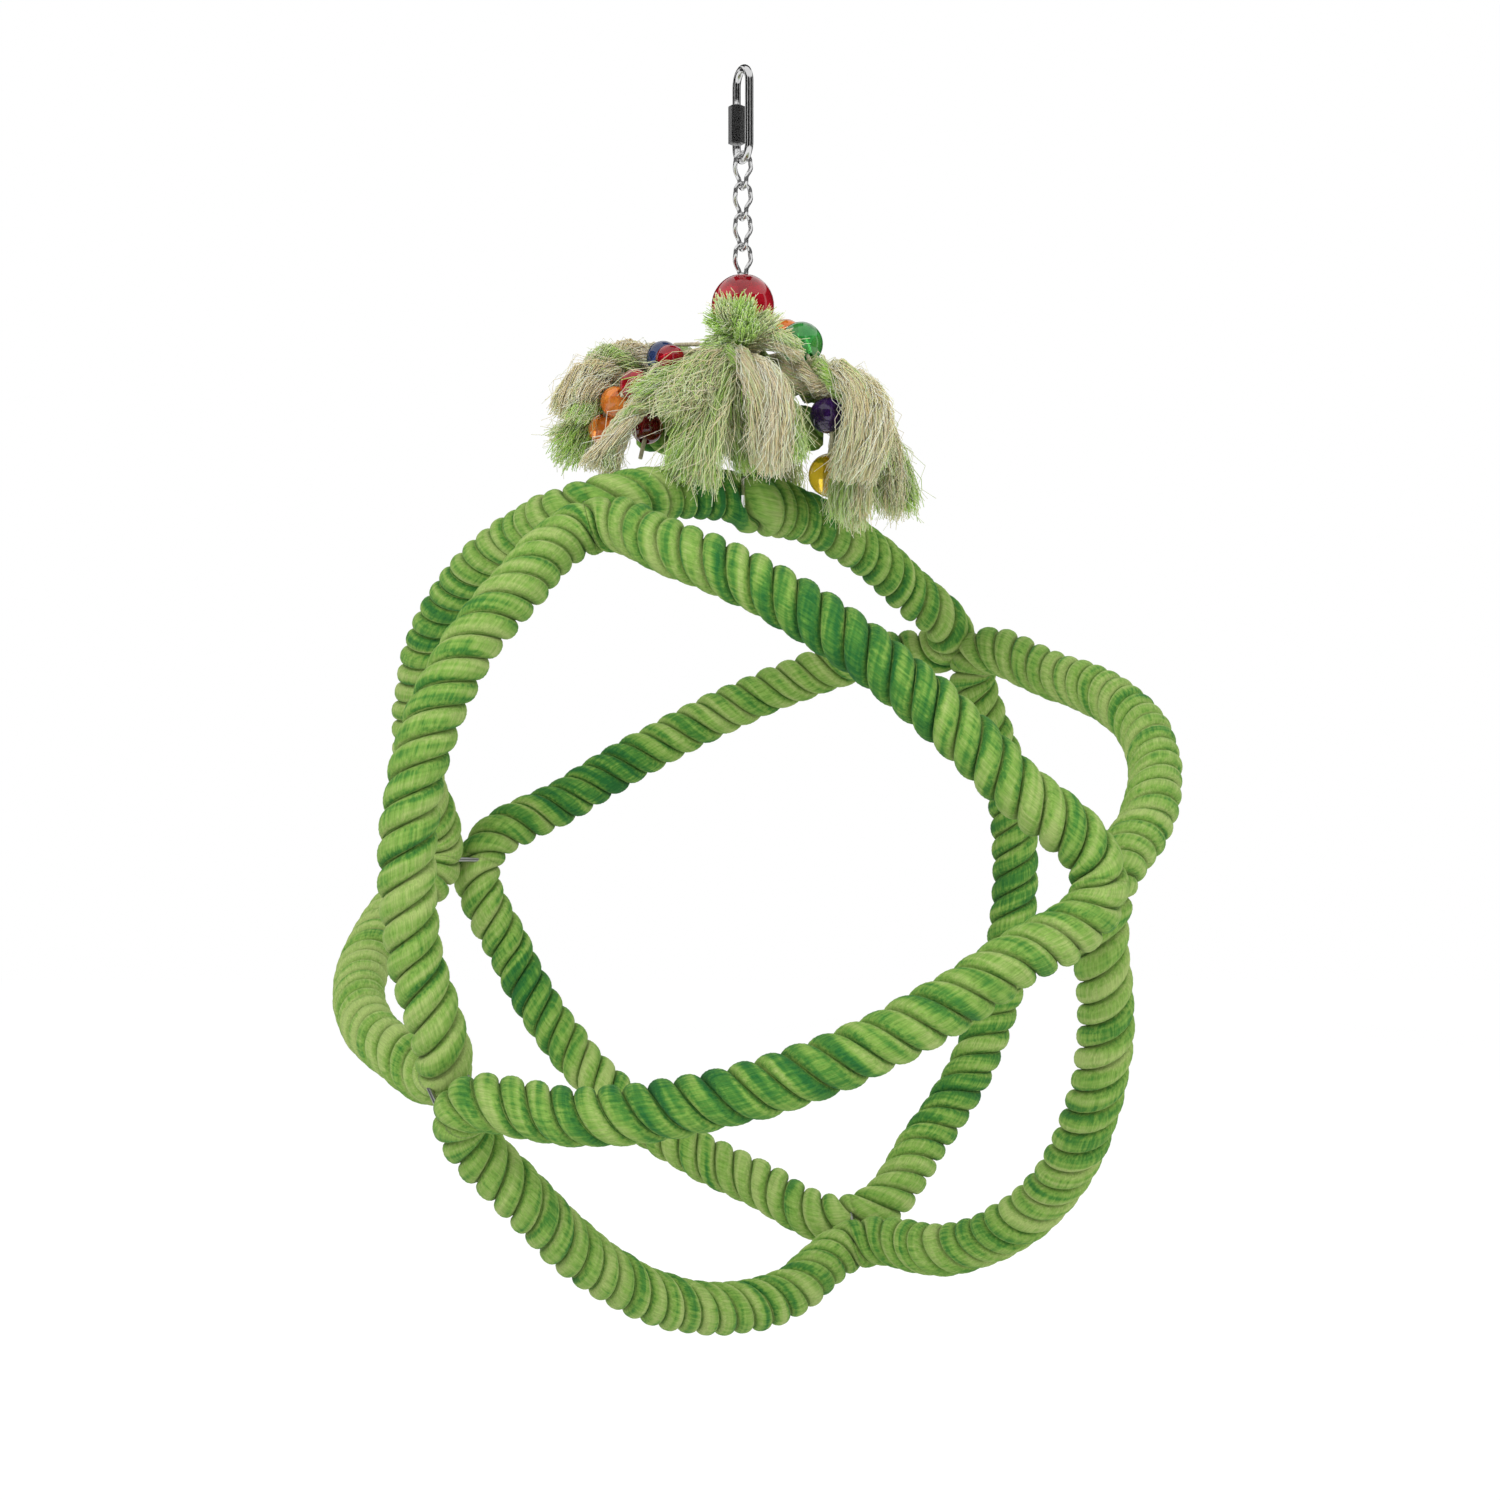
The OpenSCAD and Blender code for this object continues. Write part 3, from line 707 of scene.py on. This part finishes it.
class SWING_OT_rope_ball(bpy.types.Operator):
    """Lay the three-strand rope along its route, one piece for each arc"""

    bl_idname = "swing.rope_ball"
    bl_label = "Rope Ball"

    def execute(self, context):
        material = laid_rope_material()
        knots = rope_knots()
        middle = ball_middle(knots)
        fine = hermite(knots, True, STEPS_PER_KNOT)
        loop = np.vstack([fine, fine[:1]])
        along = lengths_along(loop)
        rate = 2 * math.pi * sizes().rope_turns / along[-1]
        per_arc = KNOTS_PER_ARC * STEPS_PER_KNOT
        hung = along[HUNG_KNOT * STEPS_PER_KNOT]
        hung_z = knots[HUNG_KNOT][2] - BALL_DROP
        for i in range(ARCS):
            first, last = i * per_arc, (i + 1) * per_arc
            stretch = loop[first:last + 1]
            count = int(round((along[last] - along[first]) / sizes().ring_step)) + 1
            points, run = resample(stretch, count)
            tangents = unit(np.gradient(points, axis=0))
            for end, at in ((0, first), (-1, last)):
                tangents[end] = unit(fine[(at + 1) % len(fine)] - fine[(at - 1) % len(fine)])
            sides = unit(points - (points * tangents).sum(1, keepdims=True) * tangents)
            tone = dye_tone(i, run / run[-1])
            run = run + along[first]
            points = points + middle
            rings, marks = laid_rings(
                points, sides, tangents, run, hung_lay(run, hung, rate), tone, np.ones(count), seed=3)
            part_at_loop(rings, points, np.flatnonzero(np.abs(run - hung) < LOOP_REACH), hung_z)
            name = "rope_arc_%d" % (i + 1)
            mesh = finish_mesh(loft(rings, marks), name + "_laid")
            new_piece(name + "_laid", mesh, "ball", material, name)
        return {"FINISHED"}


class SWING_OT_cross_rope(bpy.types.Operator):
    """Lay the short thick rope that lies across the stem"""

    bl_idname = "swing.cross_rope"
    bl_label = "Cross Rope"

    def execute(self, context):
        low, high = (np.array(c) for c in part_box("cross_rope"))
        mid = (low + high) / 2
        count = CROSS_POINTS
        points = np.stack([np.linspace(low[0] + CROSS_ENDS[0], high[0] + CROSS_ENDS[1], count),
                           np.full(count, mid[1]), np.full(count, mid[2])], 1)
        run = lengths_along(points)
        tangents, sides = carried_sides(points, (0, -1, 0))
        to_end = np.minimum(run, run[-1] - run)
        swell = CROSS_SWELL * np.minimum(1, CROSS_TIP + (1 - CROSS_TIP) * np.sqrt(to_end / CROSS_TAPER))
        tone = np.full(count, CROSS_TONE)
        turn = 2 * math.pi * run / CROSS_LAY
        rings, marks = laid_rings(points, sides, tangents, run, turn, tone, swell, seed=11)
        mesh = finish_mesh(loft(rings, marks), "cross_rope_laid")
        new_piece("cross_rope_laid", mesh, "ball", laid_rope_material(), "cross_rope")
        return {"FINISHED"}


def yarn_paths(points, radii, split, frizz, ends, count, rng):
    """Yarns of a short laid cord that opens into locks, with the strand of each yarn and how wild it is."""
    path = hermite(points, False, 8)
    at = np.linspace(0, 1, len(path))
    tangents, sides = carried_sides(path, (0.2, 1.0, 0.3))
    overs = np.cross(tangents, sides)
    length = lengths_along(path)[-1]

    strand = rng.integers(0, len(ends), count)
    wild = np.where(rng.uniform(size=count) < WILD_SHARE * frizz, rng.uniform(*WILD_RANGE, count),
                    rng.uniform(*TAME_RANGE, count))
    rho, theta = np.sqrt(rng.uniform(0, 1, (count, 1))), rng.uniform(0, 2 * math.pi, (count, 1))
    reach = np.where(rng.uniform(size=count) < FULL_SHARE, rng.uniform(*FULL_REACH, count),
                     rng.uniform(*SHORT_REACH, count))
    short = np.maximum(1 - reach, 0)[:, None]
    u = np.linspace(0, 1, YARN_POINTS) * reach[:, None]

    def along(values):
        return np.stack([np.interp(u, at, values[:, a]) for a in range(3)], -1)

    beyond = np.maximum(u - 1, 0)[..., None] * length * tangents[-1]
    thick = np.interp(u, np.linspace(0, 1, len(radii)), radii)
    leaves = split * (1 - WILD_LEAVES * wild[:, None])
    loose = np.clip((u - leaves) / (1 - leaves), 0, 1)
    turn = 2 * math.pi * length / CORD_LAY * (np.minimum(u, split) + OPEN_TURN * loose)
    strand_turn = strand[:, None] * 2 * math.pi / len(ends) + turn
    yarn_turn = theta - YARN_BACK_TURN * turn
    centre = thick * (STRAND_OUT - STRAND_CLOSES * loose)
    own = thick * rho * (STRAND_R + (OPEN_ADDS + SHORT_ADDS * short) * loose)
    wave = np.zeros((2,) + u.shape)
    for crimp, size in YARN_CRIMP:
        start = rng.uniform(0, 2 * math.pi, (2, count, 1))
        wave += rng.normal(0, size, (2, count, 1)) * np.sin(2 * math.pi * length * u / crimp + start)
    wave *= frizz * np.sqrt(loose)
    curl = 2 * math.pi * length * u / WILD_LENGTH + rng.uniform(0, 2 * math.pi, (count, 1))
    wave += WILD_CURL * wild[:, None] * np.sqrt(loose) * np.stack([np.cos(curl), np.sin(curl)])
    y = centre * np.cos(strand_turn) + own * np.cos(yarn_turn) + wave[0]
    z = centre * np.sin(strand_turn) + own * np.sin(yarn_turn) + wave[1]
    stray = rng.normal(0, YARN_SPREAD * frizz, (count, 3))
    stray *= STRAY + WILD_STRAY * wild[:, None] + SHORT_STRAY * short
    drift = ends[strand][:, None, :] * (loose ** 1.3)[..., None]
    drift += stray[:, None, :] * (loose ** 2)[..., None]
    lines = along(path) + beyond + y[..., None] * along(sides) + z[..., None] * along(overs) + drift
    return lines, strand, wild


def small_beads():
    return [bead for string in STRINGS for bead in string[3]]


def clear_of_bead(lines, middle, radius):
    """Yarns with the points that fall inside a bead moved out round it."""
    away = lines - middle
    far = np.linalg.norm(away, axis=-1, keepdims=True)
    return middle + away * np.maximum(1, (radius + BEAD_CLEAR) / np.maximum(far, 0.1 * MM))


def new_curve(name, radius, resolution):
    curve = bpy.data.curves.new(name, "CURVE")
    curve.dimensions = "3D"
    curve.bevel_depth = radius
    curve.bevel_resolution = resolution
    return curve


def yarn_mesh(name, yarns, tints, wild, radius, rng):
    """One mesh of all yarns of a tuft, from a bevelled curve, with a tint mark for each yarn."""
    curve = new_curve(name, radius, 0)
    marks = []
    part = np.linspace(0, 1, YARN_POINTS)
    for line, tint, thin in zip(yarns, tints, 1 - WILD_THIN * wild):
        spline = curve.splines.new("POLY")
        spline.points.add(len(line) - 1)
        spline.points.foreach_set("co", np.column_stack([line, np.ones(len(line))]).ravel())
        spline.points.foreach_set("radius", thin * (1 - TIP_THIN * part))
        dyed = rng.uniform() ** 3
        # Marks of each point: the yarn's tint, its place along the yarn (for painted root shade and tip dye),
        # and how dyed its tip is
        marks += [(tint, t ** 2, dyed) for t in part]
    holder = bpy.data.objects.new(name, curve)
    mesh = bpy.data.meshes.new_from_object(holder)
    bpy.data.objects.remove(holder)
    bpy.data.curves.remove(curve)
    per_point = len(mesh.vertices) // len(marks)
    if per_point < 3 or per_point * len(marks) != len(mesh.vertices):
        raise RuntimeError(name + ": yarn marks don't fit the mesh")
    layer = mesh.attributes.new("yarn", "FLOAT_VECTOR", "POINT")
    layer.data.foreach_set("vector", np.repeat(np.array(marks), per_point, 0).ravel())
    bm = bmesh.new()
    bm.from_mesh(mesh)
    bmesh.ops.holes_fill(bm, edges=[e for e in bm.edges if e.is_boundary], sides=per_point)
    for face in bm.faces:
        face.smooth = True
    bm.to_mesh(mesh)
    bm.free()
    return mesh


class SWING_OT_tassels(bpy.types.Operator):
    """Fray the cotton tassels into loose yarns"""

    bl_idname = "swing.tassels"
    bl_label = "Tassels"

    def execute(self, context):
        cotton = frayed_cotton_material()
        for i, (finish, split, frizz, points, radii, count, strands) in enumerate(TASSELS):
            rng = np.random.default_rng(TASSEL_SEED + i)
            strands = np.array(strands)
            yarns, strand, wild = yarn_paths(
                np.array(points) * MM, np.array(radii) * MM, split, frizz, strands[:, :3] * MM, count, rng)
            for bead in small_beads():
                yarns = clear_of_bead(yarns, np.array(bead[2]) * MM, bead[3] / 2 * MM)
            shades = np.clip(strands[strand, 3] + rng.normal(0, TINT_SPREAD, count), 0, 1)
            shades = np.clip(TINT_SHARE * shades + WILD_PALE * wild, 0, 1)
            name = "tassel_%d" % (i + 1)
            mesh = yarn_mesh(name + "_frayed", yarns, shades, wild, sizes().yarn_radius, rng)
            new_piece(name + "_frayed", mesh, "ball", cotton, name)
        return {"FINISHED"}


class SWING_OT_cord_wrapping(bpy.types.Operator):
    """Wind the cord that ties the tassels to the stem"""

    bl_idname = "swing.cord_wrapping"
    bl_label = "Cord Wrapping"

    def execute(self, context):
        low, high = (np.array(c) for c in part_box("cord_wrapping"))
        steps = WRAP_TURNS * WRAP_STEPS
        bm = bmesh.new()
        ring = bmesh.ops.create_circle(bm, cap_ends=True, segments=10, radius=WRAP_CORD_R)["verts"]
        bmesh.ops.rotate(bm, verts=ring, cent=(0, 0, 0), matrix=Matrix.Rotation(math.pi / 2, 3, "X"))
        bmesh.ops.translate(bm, verts=ring, vec=(high[0] - WRAP_CORD_R, 0, low[2] + WRAP_CORD_R))
        rise = (high[2] - low[2] - 2 * WRAP_CORD_R) / steps
        bmesh.ops.spin(bm, geom=bm.verts[:] + bm.edges[:] + bm.faces[:], cent=(0, 0, 0), axis=(0, 0, 1),
                       dvec=(0, 0, rise), angle=2 * math.pi * WRAP_TURNS, steps=steps, use_duplicate=False)
        bmesh.ops.recalc_face_normals(bm, faces=bm.faces)
        mesh = finish_mesh(bm, "cord_wrapping_wound")
        new_piece("cord_wrapping_wound", mesh, "ball", cotton_cord_material(), "cord_wrapping")
        return {"FINISHED"}


def string_route(start, end, beads):
    """Points along a string from the cord wrapping, straight through its beads, to its end."""
    middles = [np.array(start, float)] + [np.array(b[2], float) for b in beads] + [np.array(end, float)]
    route = [middles[0]]
    for i, bead in enumerate(beads, 1):
        along = unit(middles[i + 1] - middles[i - 1]) * (bead[3] / 2 + BEAD_LEAD / MM)
        route += [middles[i] - along, middles[i], middles[i] + along]
    route.append(middles[-1])
    return hermite(np.array(route) * MM, False, 2)


class SWING_OT_bead_strings(bpy.types.Operator):
    """Thread the thin cords through the small beads"""

    bl_idname = "swing.bead_strings"
    bl_label = "Bead Strings"

    def execute(self, context):
        material = cotton_cord_material()
        for name, start, end, beads in STRINGS:
            route = string_route(start, end, beads)
            curve = new_curve("bead_string_" + name, STRING_D / 2, 3)
            curve.use_fill_caps = True
            spline = curve.splines.new("POLY")
            spline.points.add(len(route) - 1)
            for point, p in zip(spline.points, route):
                point.co = (*p, 1)
            piece = bpy.data.objects.new("bead_string_%s_cord" % name, curve)
            context.collection.objects.link(piece)
            curve.materials.append(material)
            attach(piece, "ball")
            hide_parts("bead_string_" + name)
        return {"FINISHED"}


class SWING_OT_beads(bpy.types.Operator):
    """Give the beads their glossy tinted plastic"""

    bl_idname = "swing.beads"
    bl_label = "Beads"

    def execute(self, context):
        plastics = {name: bead_material(name, *pair) for name, pair in BEAD_TINTS.items()}
        finishes = [("top_bead", "red_bead")] + [bead[:2] for bead in small_beads()]
        for node, plastic in finishes:
            dress_node(node, plastics[plastic])
        return {"FINISHED"}


def dress_node(node, material):
    """Puts a material on a solid that keeps its own shape."""
    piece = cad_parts[node]
    piece.data.materials.clear()
    piece.data.materials.append(material)


def link_loop():
    """Points round a twist link: two flat bows a quarter turn apart, and two twisted sides."""
    leg = LINK_LEN - 2 * BOW_R
    side_steps = 12
    bow = np.radians(np.arange(0, 181, 12))
    s = np.arange(1, side_steps) / side_steps
    twist = np.radians(-90 * s * s * (3 - 2 * s))
    top = np.stack([BOW_R * np.cos(bow), 0 * bow, BOW_R * np.sin(bow) - BOW_R], 1)
    down = np.stack([-BOW_R * np.cos(twist), -BOW_R * np.sin(twist), -BOW_R - leg * s], 1)
    low = np.stack([0 * bow, BOW_R * np.cos(bow), -BOW_R - leg - BOW_R * np.sin(bow)], 1)
    up = (down * (-1, -1, 1))[::-1]
    return np.vstack([top, down, low, up])


def turned(angle):
    """Matrix of a turn about the vertical, for rows of points."""
    c, s = math.cos(angle), math.sin(angle)
    return np.array([(c, s, 0), (-s, c, 0), (0, 0, 1)])


def wire_rings(points, outs, overs, diameter, sides):
    """Round rings of a bent wire along a path."""
    angles = np.radians(np.arange(0, 360, 360 / sides))[:, None]
    return [p + diameter / 2 * (np.cos(angles) * out + np.sin(angles) * over)
            for p, out, over in zip(points, outs, overs)]


def quick_link_route():
    """Points along the quick link's rod, from one end inside the sleeve to the other."""
    bow = np.radians(np.arange(180, -1, -9))
    top = np.stack([QUICK_BOW * np.cos(bow), 0 * bow, QUICK_TOP + QUICK_BOW * np.sin(bow)], 1)
    low = np.stack([-QUICK_BOW * np.cos(bow), 0 * bow, QUICK_FOOT - QUICK_BOW * np.sin(bow)], 1)
    return np.vstack([[(-QUICK_BOW, 0, GATE_ENDS[1])], top, low, [(-QUICK_BOW, 0, GATE_ENDS[0])]])


class SWING_OT_quick_link(bpy.types.Operator):
    """Bend the rod of the quick link"""

    bl_idname = "swing.quick_link"
    bl_label = "Quick Link"

    def execute(self, context):
        route = quick_link_route()
        overs = np.tile((0.0, 1.0, 0.0), (len(route), 1))
        outs = np.cross(overs, unit(np.gradient(route, axis=0)))
        spin = turned(QUICK_TURN)
        rings = [ring @ spin for ring in wire_rings(route, outs, overs, QUICK_ROD, 24)]
        mesh = finish_mesh(loft(rings), "quick_link_rod")
        new_piece("quick_link_rod", mesh, "hanger", bright_steel_material(),
                  "quick_link_body")
        return {"FINISHED"}


class SWING_OT_chain(bpy.types.Operator):
    """Bend the twist links of the chain"""

    bl_idname = "swing.chain"
    bl_label = "Chain"

    def execute(self, context):
        material = bright_steel_material()
        loop = link_loop()
        ahead = unit(np.roll(loop, -1, 0) - np.roll(loop, 1, 0))
        out = loop - np.array((0, 0, -LINK_LEN / 2))
        out = unit(out - (out * ahead).sum(1, keepdims=True) * ahead)
        bent = wire_rings(loop, out, np.cross(ahead, out), CHAIN_WIRE, 12)
        spin = turned(QUICK_TURN + math.pi / 2)
        for i in range(LINKS):
            lift = np.array((0, 0, FIRST_LINK_Z - i * LINK_PITCH))
            rings = [ring @ spin + lift for ring in bent]
            name = "chain_link_%d" % (i + 1)
            mesh = finish_mesh(loft(rings, closed=True), name + "_bent")
            body = "ball" if i == LINKS - 1 else "link_%d" % (i + 1)
            new_piece(name + "_bent", mesh, body, material, name)
        return {"FINISHED"}


class SWING_OT_hardware(bpy.types.Operator):
    """Finish the quick link's sleeve, the stem, the binding rings and the wire core"""

    bl_idname = "swing.hardware"
    bl_label = "Hardware"

    def execute(self, context):
        wire = steel_material("binding_wire", tone=0.42, rough=0.3, brushed=0.3)
        dress_node("stem_wire", bright_steel_material())
        sleeve = steel_material("sleeve_steel", tone=0.42, rough=0.24, brushed=0.05)
        dress_node("quick_link_sleeve", sleeve)
        for node in ["core_wire"] + ["binding_ring_%d" % (j + 1) for j in range(len(JOINTS))]:
            dress_node(node, wire)
        return {"FINISHED"}


class SWING_OT_stage(bpy.types.Operator):
    """Set the pale floor, the soft light and the camera"""

    bl_idname = "swing.stage"
    bl_label = "Stage"

    def execute(self, context):
        scene = context.scene
        scene.view_settings.view_transform = "Standard"
        self.sky(scene)
        self.floor(context)
        self.flags(context)
        self.lamps(context)
        camera = bpy.data.cameras.new("camera")
        camera.lens = CAMERA_LENS
        camera.sensor_width = CAMERA_SENSOR
        holder = bpy.data.objects.new("camera", camera)
        holder.location = CAMERA_AT
        holder.rotation_euler = (math.pi / 2, 0, 0)
        context.collection.objects.link(holder)
        scene.camera = holder
        return {"FINISHED"}

    def seen_directly(self, tree):
        """A value of 1 for rays that show the background, 0 for rays that light the object."""
        path = tree.nodes.new("ShaderNodeLightPath")
        total = path.outputs["Is Camera Ray"]
        for name in ("Is Glossy Ray", "Is Transmission Ray"):
            larger = tree.nodes.new("ShaderNodeMath")
            larger.operation = "MAXIMUM"
            tree.links.new(total, larger.inputs[0])
            tree.links.new(path.outputs[name], larger.inputs[1])
            total = larger.outputs[0]
        return total

    def sky(self, scene):
        world = bpy.data.worlds.new("studio")
        scene.world = world
        world.use_nodes = True
        tree = world.node_tree
        tree.nodes.clear()
        output = tree.nodes.new("ShaderNodeOutputWorld")
        pick = tree.nodes.new("ShaderNodeMixShader")
        for slot, strength in ((1, SKY_LIGHT), (2, 1.0)):
            light = tree.nodes.new("ShaderNodeBackground")
            light.inputs["Color"].default_value = grey(1.0)
            light.inputs["Strength"].default_value = strength
            tree.links.new(light.outputs[0], pick.inputs[slot])
        tree.links.new(self.seen_directly(tree), pick.inputs[0])
        tree.links.new(pick.outputs[0], output.inputs["Surface"])

    def floor(self, context):
        bm = bmesh.new()
        bmesh.ops.create_grid(bm, x_segments=1, y_segments=1, size=FLOOR_HALF)
        bmesh.ops.translate(bm, verts=bm.verts, vec=(0, 0, FLOOR_Z))
        mesh = finish_mesh(bm, "floor", False)
        floor = bpy.data.objects.new("floor", mesh)
        context.collection.objects.link(floor)
        paint = Paint("pale_floor")
        paint.set(Base_Color=grey(0.86), Roughness=0.9)
        glow = paint.add("ShaderNodeEmission", Strength=FLOOR_GLOW)
        pick = paint.add("ShaderNodeMixShader")
        share = paint.math("MULTIPLY", self.seen_directly(paint.tree), 0.85)
        paint.join(share, pick.inputs[0])
        paint.join(paint.shader.outputs[0], pick.inputs[1])
        paint.join(glow.outputs[0], pick.inputs[2])
        paint.join(pick.outputs[0], paint.output.inputs["Surface"])
        mesh.materials.append(paint.material)

    def flags(self, context):
        """Dark panels all round and a small one behind the quick link, that only show as reflections."""
        bm = bmesh.new()

        def panel(half, place):
            verts = bmesh.ops.create_grid(bm, x_segments=1, y_segments=1, size=1.0)["verts"]
            bmesh.ops.scale(bm, verts=verts, vec=(*half, 1))
            bmesh.ops.transform(bm, verts=verts, matrix=place)

        upright = Matrix.Translation(FLAG_AT) @ Matrix.Rotation(math.pi / 2, 4, "X")
        for k in range(FLAGS):
            panel(FLAG_HALF, Matrix.Rotation(math.radians(360 / FLAGS * k + FLAG_TURN), 4, "Z") @ upright)
        panel(LINK_FLAG_HALF, Matrix.Translation(LINK_FLAG_AT))
        mesh = finish_mesh(bm, "flags", False)
        flags = bpy.data.objects.new("flags", mesh)
        context.collection.objects.link(flags)
        for kind in ("camera", "diffuse", "transmission", "volume_scatter", "shadow"):
            setattr(flags, "visible_" + kind, False)
        paint = Paint("dark_flags")
        paint.set(Base_Color=grey(0.02), Roughness=1.0, Specular_IOR_Level=0.0)
        mesh.materials.append(paint.material)

    def lamps(self, context):
        target = Vector(LAMP_TARGET)
        for name, at, size, power in LAMPS:
            lamp = bpy.data.lights.new(name, "AREA")
            lamp.size = size
            lamp.energy = power
            holder = bpy.data.objects.new(name, lamp)
            holder.location = at
            holder.rotation_euler = (target - Vector(at)).to_track_quat("-Z", "Y").to_euler()
            holder.visible_glossy = False
            context.collection.objects.link(holder)


STEPS = (
    SWING_OT_rope_ball, SWING_OT_cross_rope, SWING_OT_cord_wrapping, SWING_OT_tassels, SWING_OT_bead_strings,
    SWING_OT_beads, SWING_OT_quick_link, SWING_OT_chain, SWING_OT_hardware, SWING_OT_stage,
)


class SWING_PT_panel(bpy.types.Panel):
    """Rope swing pieces and sizes"""

    bl_idname = "SWING_PT_panel"
    bl_label = "Rope Swing"
    bl_space_type = "VIEW_3D"
    bl_region_type = "UI"
    bl_category = "Rope Swing"

    def draw(self, context):
        for group in (context.scene.swing_sizes, context.scene.swing_colours):
            for name in group.__annotations__:
                self.layout.prop(group, name)
        for step in STEPS:
            self.layout.operator(step.bl_idname)


CLASSES = (SwingSizes, SwingColours) + STEPS + (SWING_PT_panel,)


def register():
    for cls in CLASSES:
        bpy.utils.register_class(cls)
    bpy.types.Scene.swing_sizes = bpy.props.PointerProperty(type=SwingSizes)
    bpy.types.Scene.swing_colours = bpy.props.PointerProperty(type=SwingColours)


def unregister():
    del bpy.types.Scene.swing_colours
    del bpy.types.Scene.swing_sizes
    for cls in reversed(CLASSES):
        bpy.utils.unregister_class(cls)


def main():
    register()
    for step in STEPS:
        group, name = step.bl_idname.split(".")
        getattr(getattr(bpy.ops, group), name)()


if __name__ == "__main__":
    main()
